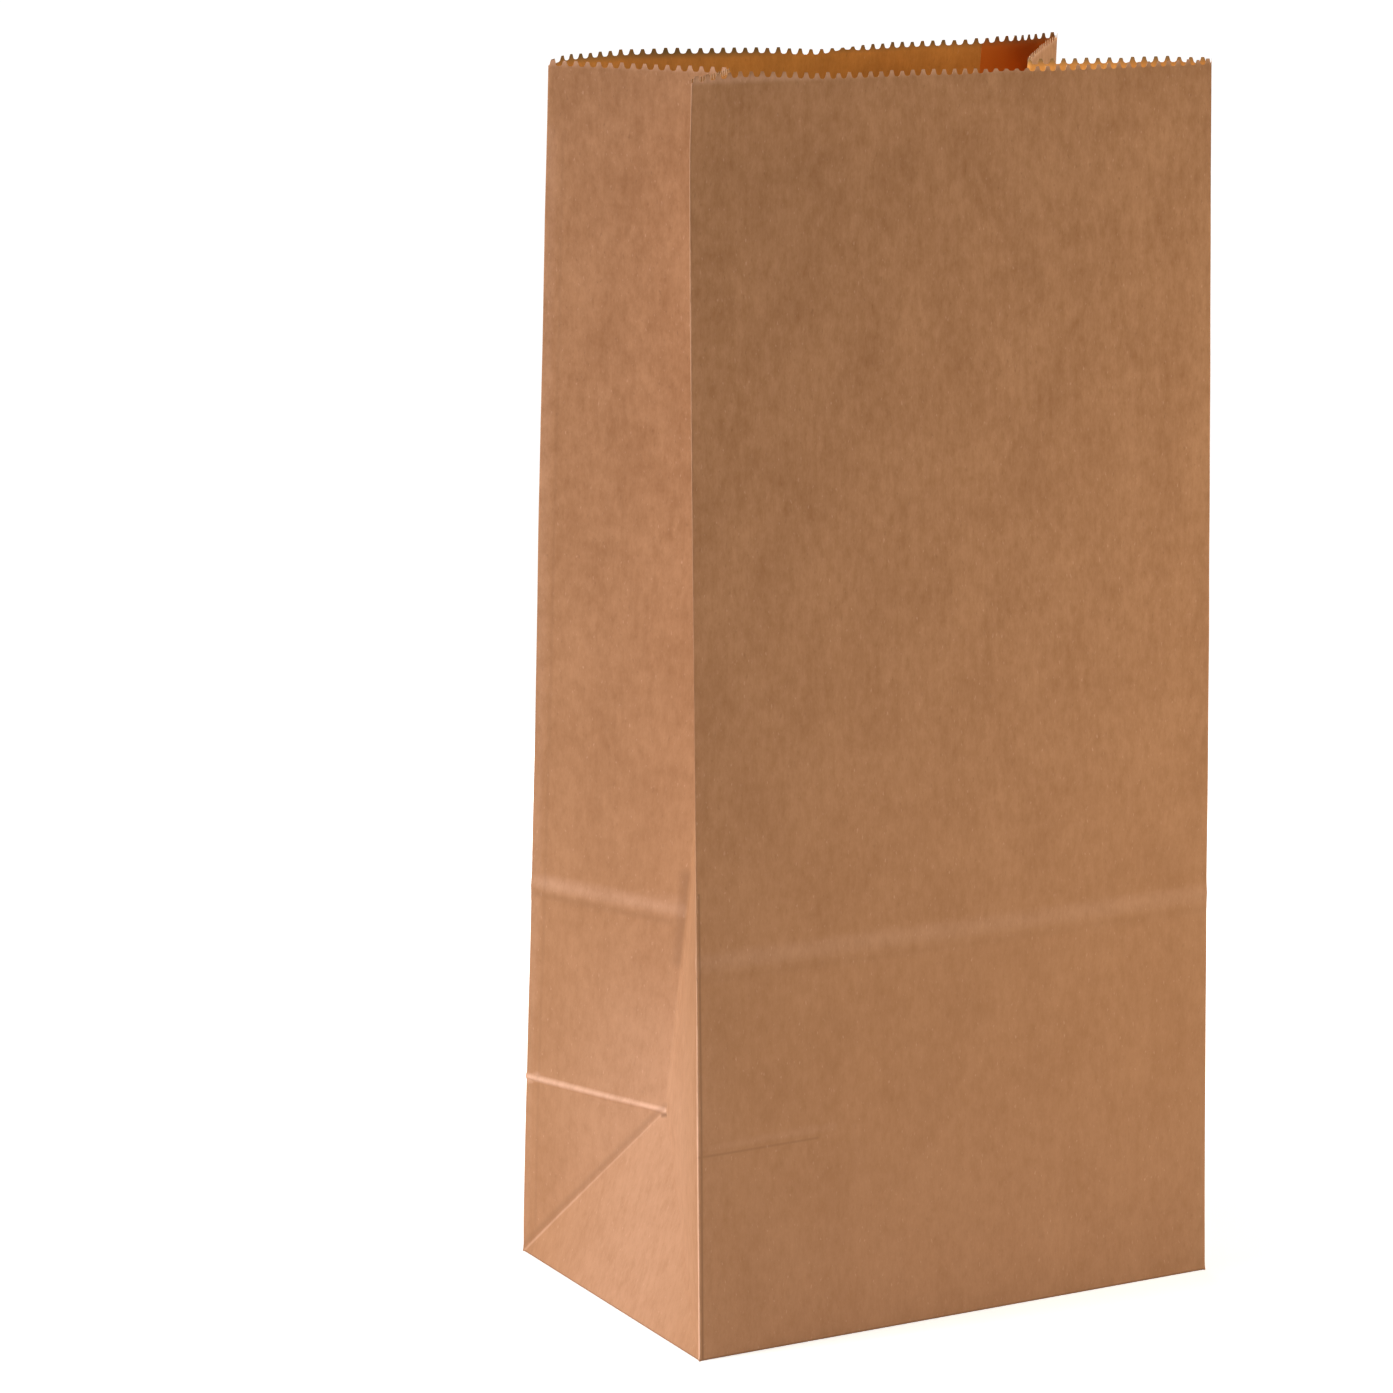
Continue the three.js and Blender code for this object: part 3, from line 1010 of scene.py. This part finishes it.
@dataclass(frozen=True)
class PaperFinish:
    """Finish of one face of the paper.

    The pulp runs from the dark to the light colour, pale flecks, rubbed fibres and painted highlights are
    paler, and the shade colour of dark flecks and painted shade is darker than both.
    Its clouds and flecks are calm at the foot of the bag and full higher up.
    """

    name: str
    dark: Colour
    light: Colour
    pale_and_highlight: Colour
    shade: Colour
    # Inner face beyond the lap's edge: painted shade where the doubled paper lets less light through
    lap: Colour | None = None
    lap_edge: float = 0.4
    line_strength: float = 1.0
    rim_pale_and_highlight: float = 0.35
    tips: float = 0.0
    calm: float = 0.5
    calm_below: float = 20.0
    full_above: float = 230.0
    dark_flecks: float = 0.28
    pale_flecks: float = 0.2
    line_breakup: tuple[float, float] = (-0.8, 0.9)
    roughness: float = 0.82
    specular: float = 0.35
    bump: float = 0.35
    bump_height: float = 0.06

    def pale_and_highlight_lines(self, plan: SheetPlan) -> list[PaintedLine]:
        """List the places that are painted paler than the sheet: rubbed fibres and painted highlights on the
        folds, creases, ridge and rim, and painted sheen at the foot.

        Args:
            plan: The flat sheet.

        Returns:
            The lines, the strongest of which shows where they cross.
        """
        left, middle, right = plan.start(Panel.LEFT), plan.centre(Panel.LEFT), plan.start(Panel.FRONT)
        end, top, ridge = plan.end(Panel.LAP), plan.height, plan.ridge + 2.9
        side, front = plan.side_crease, plan.front_crease
        # Rubbed fibres and a painted highlight on every fold
        lines = [PaintedLine((fold, 0), (fold, top), 0.5, 0.25) for fold in plan.folds()]
        # Painted highlight on the front left fold, paler towards its foot
        for reach, strength in ((55, 0.85), (75, 0.7), (90, 0.5), (104, 0.35)):
            lines.append(PaintedLine((right - 0.3, 0), (right - 0.3, reach), 0.9, strength))
        lines += [
            # Painted highlights on the left gusset: its cross crease, its diagonal and its edge at the back
            PaintedLine((left, side + 0.2), (middle, plan.apex + 0.2), 1.3, 0.8),
            PaintedLine((left + 0.6, side - 0.7), (left + 3.6, side + 0.9), 1.8, 0.4),
            PaintedLine((left, -0.3), (middle, plan.apex - 0.3), 0.7, 0.35),
            PaintedLine((left + 1.2, 0), (left + 1.2, 262), 2.4, 0.1),
            # Painted highlight on the ridge, all round and on the left gusset
            PaintedLine((right, ridge), (end, ridge), 3.4, 0.13),
            PaintedLine((0, ridge), (left, ridge), 3.4, 0.13),
            PaintedLine((left, ridge + 1.2), (middle - 2, ridge + 1.4), 3.0, 0.25),
            PaintedLine((middle - 11, ridge + 1.4), (middle - 3, ridge + 1.9), 4.2, 0.14),
            # Painted highlight over the crease of the front, then the rim, pale from its cut fibres and from
            # a painted highlight
            PaintedLine((right, front + 1.4), (right + 34, front + 1.8), 1.8, 0.1),
            PaintedLine((0, top - 0.3), (end, top - 0.3), 1.5, self.rim_pale_and_highlight),
            # Painted sheen, paler over the left gusset's foot and over the foot of the rest
            PaintedLine((middle + 6, -20), (middle + 6, 40), 62, 0.22),
            PaintedLine((right, -30), (end, -30), 110, 0.11),
        ]
        return lines

    def shade_lines(self, plan: SheetPlan) -> list[PaintedLine]:
        """List the places that are painted darker than the sheet: painted shade beside the creases and along
        the bottom fold, and darker tips of the teeth.

        Args:
            plan: The flat sheet.

        Returns:
            The lines, the strongest of which shows where they cross.
        """
        left, middle, right = plan.start(Panel.LEFT), plan.centre(Panel.LEFT), plan.start(Panel.FRONT)
        end, top, apex = plan.end(Panel.LAP), plan.height, plan.apex
        under, over, front = plan.ridge - 0.8, plan.ridge + 1.2, plan.front_crease
        return [
            # Painted shade beside the front left fold and the back left fold
            PaintedLine((right + 0.9, 0), (right + 0.9, 104), 0.45, 0.5),
            PaintedLine((left + 4.0, 0), (left + 4.0, 262), 0.7, 0.12),
            # Painted shade under the ridge, all round and on the left gusset
            PaintedLine((right, under), (end, under), 1.6, 0.08),
            PaintedLine((0, under), (left, under), 1.6, 0.08),
            PaintedLine((left, over), (middle - 4, over), 1.4, 0.13),
            # Painted shade where the ridge meets the centre fold, above the diagonal and at the apex
            PaintedLine((middle - 1.4, 79), (middle - 1.4, 98), 2.8, 0.28),
            PaintedLine((left, 1.3), (middle, apex + 1.3), 1.4, 0.24),
            PaintedLine((middle - 0.5, apex - 1.0), (middle + 0.5, apex - 0.6), 0.9, 0.6),
            # Painted shade under the crease of the front and along the bottom fold, and darker tips of the
            # teeth
            PaintedLine((right, front - 0.4), (right + 30, front - 0.2), 0.5, 0.28),
            PaintedLine((0, 0.2), (end, 0.2), 0.5, 0.55),
            PaintedLine((0, top + 0.6), (end, top + 0.6), 2.4, self.tips),
        ]

    def build(self, plan: SheetPlan) -> bpy.types.Material:
        """Make the material.

        Args:
            plan: The flat sheet that the creases lie on.

        Returns:
            A material that reads the sheet's own UV map.
        """
        material = bpy.data.materials.new(self.name)
        material.use_nodes = True
        graph = Graph(material.node_tree)
        sheet = graph.node("ShaderNodeUVMap", uv_map=SHEET_UV).outputs[0]
        axes = graph.node("ShaderNodeSeparateXYZ")
        graph.put(axes.inputs[0], sheet)
        pulp = graph.group(SHARED["pulp"], Sheet=sheet)
        depth = graph.ramp(axes.outputs["Y"], self.calm_below, self.full_above, self.calm, 1.0)
        tone = graph.math("MULTIPLY", graph.math("SUBTRACT", pulp.outputs["Tone"], 0.5), depth)
        colour = graph.mix(graph.math("ADD", tone, 0.5), self.dark, self.light)
        strength = graph.math("MULTIPLY", depth, self.dark_flecks)
        flecks = graph.math("MULTIPLY", pulp.outputs["Dark Fleck"], strength)
        colour = graph.mix(flecks, colour, self.shade)
        flecks = graph.math("MULTIPLY", pulp.outputs["Pale Fleck"], self.pale_flecks)
        colour = graph.mix(flecks, colour, self.pale_and_highlight)
        # Painted shade beyond the lap's edge on the inner face
        if self.lap:
            edge = plan.start(Panel.LAP)
            lap_shade_mask = graph.ramp(axes.outputs["X"], edge, edge + self.lap_edge)
            colour = graph.mix(lap_shade_mask, colour, self.lap)
        # Pale lines paint rubbed fibres, highlights and sheen; dark lines paint shade and darker tips of the
        # teeth
        for lines, paint in ((self.pale_and_highlight_lines(plan), self.pale_and_highlight), (self.shade_lines(plan), self.shade)):
            mask = self.line_mask(graph, sheet, lines)
            patchy_line = graph.math("MULTIPLY", mask, graph.ramp(pulp.outputs["Tone"], *self.line_breakup))
            colour = graph.mix(graph.math("MULTIPLY", patchy_line, self.line_strength), colour, paint)
        bump = graph.feed(
            graph.node("ShaderNodeBump"),
            Strength=self.bump,
            Distance=self.bump_height * MM,
            Height=pulp.outputs["Height"],
        )
        shader = graph.feed(
            graph.node("ShaderNodeBsdfPrincipled"),
            Base_Color=colour,
            Roughness=self.roughness,
            Specular_IOR_Level=self.specular,
            Normal=bump.outputs[0],
        )
        graph.feed(graph.node("ShaderNodeOutputMaterial"), Surface=shader.outputs[0])
        return material

    def line_mask(self, graph: Graph, sheet: Socket, lines: list[PaintedLine]) -> Socket:
        """Draw a list of lines into one mask, the strongest on top.

        Args:
            graph: The material's graph.
            sheet: Where on the sheet.
            lines: What is drawn.

        Returns:
            The mask, as strong as the strongest line at each place.
        """
        mask: object = 0.0
        for line in lines:
            drawn = graph.group(
                SHARED["line"],
                Sheet=sheet,
                Start=(*line.start, 0),
                End=(*line.end, 0),
                Half_Width=line.half_width,
            )
            mask = graph.math("MAXIMUM", mask, graph.math("MULTIPLY", drawn.outputs["Line"], line.strength))
        return mask


SHARED: dict[str, bpy.types.NodeTree] = {}


@dataclass(frozen=True)
class Lamp:
    """A square soft light, in metres and watts."""

    name: str
    place: Place
    aim: Place
    size: float
    power: float
    colour: Colour

    def light(self) -> bpy.types.Light:
        """Make the lamp.

        Returns:
            The lamp, not yet hung.
        """
        data = bpy.data.lights.new(self.name, "AREA")
        data.shape = "SQUARE"
        data.size = self.size
        data.energy = self.power
        data.color = self.colour
        return data


LAMPS = (
    Lamp("back fill", (0.10, 0.55, 0.22), (0, 0.035, 0.14), size=0.3, power=1.3, colour=(1, 0.97, 0.90)),
    Lamp("right fill", (0.42, -0.22, 0.20), (0, -0.035, 0.16), size=0.3, power=1.72, colour=(1, 0.90, 0.66)),
    Lamp("low fill", (-0.05, -0.35, 0.05), (-0.03, -0.04, 0.06), size=0.15, power=0.34, colour=(1, 1, 1)),
    Lamp("mouth", (0.004, 0.002, 0.39), (0.004, 0.002, 0), size=0.03, power=0.38, colour=(1, 0.95, 0.75)),
)


@dataclass(frozen=True)
class Studio:
    """Pale floor, soft light and the camera, in metres and degrees."""

    camera_place: Place = (-0.5550, -0.9334, 0.3648)
    azimuth: float = 28.67
    tilt: float = 12.02
    roll: float = 0.26
    lens: float = 126.53
    sensor: float = 36.0
    floor_reach: float = 6.0
    floor_colour: tuple[float, ...] = (0.86, 0.86, 0.86, 1.0)
    floor_glow: float = 0.63
    sky: float = 0.07
    sun_azimuth: float = 170.0
    sun_elevation: float = 20.0
    sun_strength: float = 3.8
    sun_width: float = 20.0

    def camera(self) -> bpy.types.Object:
        """Place the camera at the photograph's viewpoint.

        Returns:
            The camera, made the scene's own.
        """
        data = bpy.data.cameras.new("camera")
        data.lens = self.lens
        data.sensor_width = self.sensor
        data.sensor_fit = "HORIZONTAL"
        data.clip_start = 0.01
        data.clip_end = 50.0
        camera = bpy.data.objects.new("camera", data)
        azimuth, tilt = math.radians(self.azimuth), math.radians(self.tilt)
        level = Vector((math.sin(azimuth), math.cos(azimuth), 0))
        forward = level * math.cos(tilt) - Vector((0, 0, math.sin(tilt)))
        right = Vector((level.y, -level.x, 0))
        right = Matrix.Rotation(math.radians(self.roll), 3, -forward) @ right
        up = right.cross(forward)
        axes = Matrix((right, up, -forward)).transposed().to_4x4()
        camera.matrix_world = Matrix.Translation(self.camera_place) @ axes
        bpy.context.scene.collection.objects.link(camera)
        bpy.context.scene.camera = camera
        return camera

    def floor(self) -> bpy.types.Object:
        """Lay a plain pale floor, whose glow reaches the camera and not the object.

        Returns:
            The floor.
        """
        mesh = bmesh.new()
        bmesh.ops.create_grid(mesh, x_segments=1, y_segments=1, size=self.floor_reach)
        data = bpy.data.meshes.new("floor")
        mesh.to_mesh(data)
        mesh.free()
        floor = bpy.data.objects.new("floor", data)
        bpy.context.scene.collection.objects.link(floor)
        material = bpy.data.materials.new("floor_white")
        material.use_nodes = True
        graph = Graph(material.node_tree)
        path = graph.node("ShaderNodeLightPath")
        shader = graph.feed(
            graph.node("ShaderNodeBsdfPrincipled"),
            Base_Color=self.floor_colour,
            Roughness=0.9,
            Specular_IOR_Level=0.1,
            Emission_Color=(1, 1, 1, 1),
            Emission_Strength=graph.math("MULTIPLY", path.outputs["Is Camera Ray"], self.floor_glow),
        )
        graph.feed(graph.node("ShaderNodeOutputMaterial"), Surface=shader.outputs[0])
        data.materials.append(material)
        return floor

    def world(self) -> None:
        """Light all round at a plain level, white to the camera and in reflections."""
        world = bpy.data.worlds.new("studio")
        world.use_nodes = True
        graph = Graph(world.node_tree)
        path = graph.node("ShaderNodeLightPath")
        shown = graph.math("MAXIMUM", path.outputs["Is Camera Ray"], path.outputs["Is Glossy Ray"])
        shown = graph.math("MAXIMUM", shown, path.outputs["Is Transmission Ray"])
        strength = graph.ramp(shown, 0.0, 1.0, self.sky, 1.0)
        background = graph.feed(graph.node("ShaderNodeBackground"), Color=(1, 1, 1, 1), Strength=strength)
        graph.feed(graph.node("ShaderNodeOutputWorld"), Surface=background.outputs[0])
        bpy.context.scene.world = world

    def sun(self) -> None:
        """Hang the key light: far away at the left, with soft shadows."""
        data = bpy.data.lights.new("key", "SUN")
        data.energy = self.sun_strength
        data.angle = math.radians(self.sun_width)
        turn, rise = math.radians(self.sun_azimuth), math.radians(self.sun_elevation)
        away = Vector((math.cos(turn) * math.cos(rise), math.sin(turn) * math.cos(rise), math.sin(rise)))
        self.hang(data, away, Vector())

    def hang(self, data: bpy.types.Light, place: Vector, aim: Vector) -> None:
        """Hang a light, unseen by the camera.

        Args:
            data: The light.
            place: Where it hangs.
            aim: What it points at.
        """
        lamp = bpy.data.objects.new(data.name, data)
        lamp.location = place
        lamp.rotation_euler = (aim - place).to_track_quat("-Z", "Y").to_euler()
        lamp.visible_camera = False
        bpy.context.scene.collection.objects.link(lamp)

    def light(self) -> None:
        """Hang the lights: the key, two small fills in front, one behind and one over the mouth."""
        self.sun()
        for lamp in LAMPS:
            self.hang(lamp.light(), Vector(lamp.place), Vector(lamp.aim))

    def build(self) -> None:
        """Set up everything round the object."""
        self.camera()
        self.floor()
        self.world()
        self.light()
        bpy.context.scene.view_settings.view_transform = "Standard"


OUTSIDE = PaperFinish(
    name="kraft_outside",
    dark=(0.285, 0.122, 0.046),
    light=(0.460, 0.228, 0.112),
    pale_and_highlight=(0.78, 0.46, 0.32),
    shade=(0.13, 0.055, 0.022),
)
# The inner face's saturated orange is painted light shining through the paper and bouncing inside the bag;
# its lap colour is painted shade
INSIDE = PaperFinish(
    name="kraft_inside",
    dark=(0.36, 0.135, 0.018),
    light=(0.53, 0.220, 0.042),
    pale_and_highlight=(0.60, 0.33, 0.15),
    shade=(0.075, 0.055, 0.020),
    lap=(0.46, 0.105, 0.002),
    rim_pale_and_highlight=0.0,
    tips=0.9,
)
CUT_EDGE = PaperFinish(
    name="kraft_cut_edge",
    dark=(0.42, 0.23, 0.12),
    light=(0.56, 0.34, 0.19),
    pale_and_highlight=(0.70, 0.46, 0.29),
    shade=(0.2, 0.1, 0.05),
    line_strength=0.5,
)


def main() -> None:
    """Build the bag and the studio round it."""
    logging.basicConfig(level=logging.INFO, format="%(message)s")
    low, high = (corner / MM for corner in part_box(NODE))
    plan = SheetPlan(face=-2 * low.x, gusset=high.y - low.y, height=high.z + LEAN)
    stance = Stance(plan, half_face=-low.x, half_depth=-low.y)
    SHARED["line"] = line_group()
    SHARED["pulp"] = pulp_group()
    Studio().build()
    sheet = PaperBag(plan, stance, Relief(plan))
    bag = sheet.build()
    sheet.dress(bag, (OUTSIDE, INSIDE, CUT_EDGE))
    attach(bag, BODY)
    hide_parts(NODE)
    log.info("%s: %d faces before its thickness", bag.name, len(bag.data.polygons))


if __name__ == "__main__":
    main()
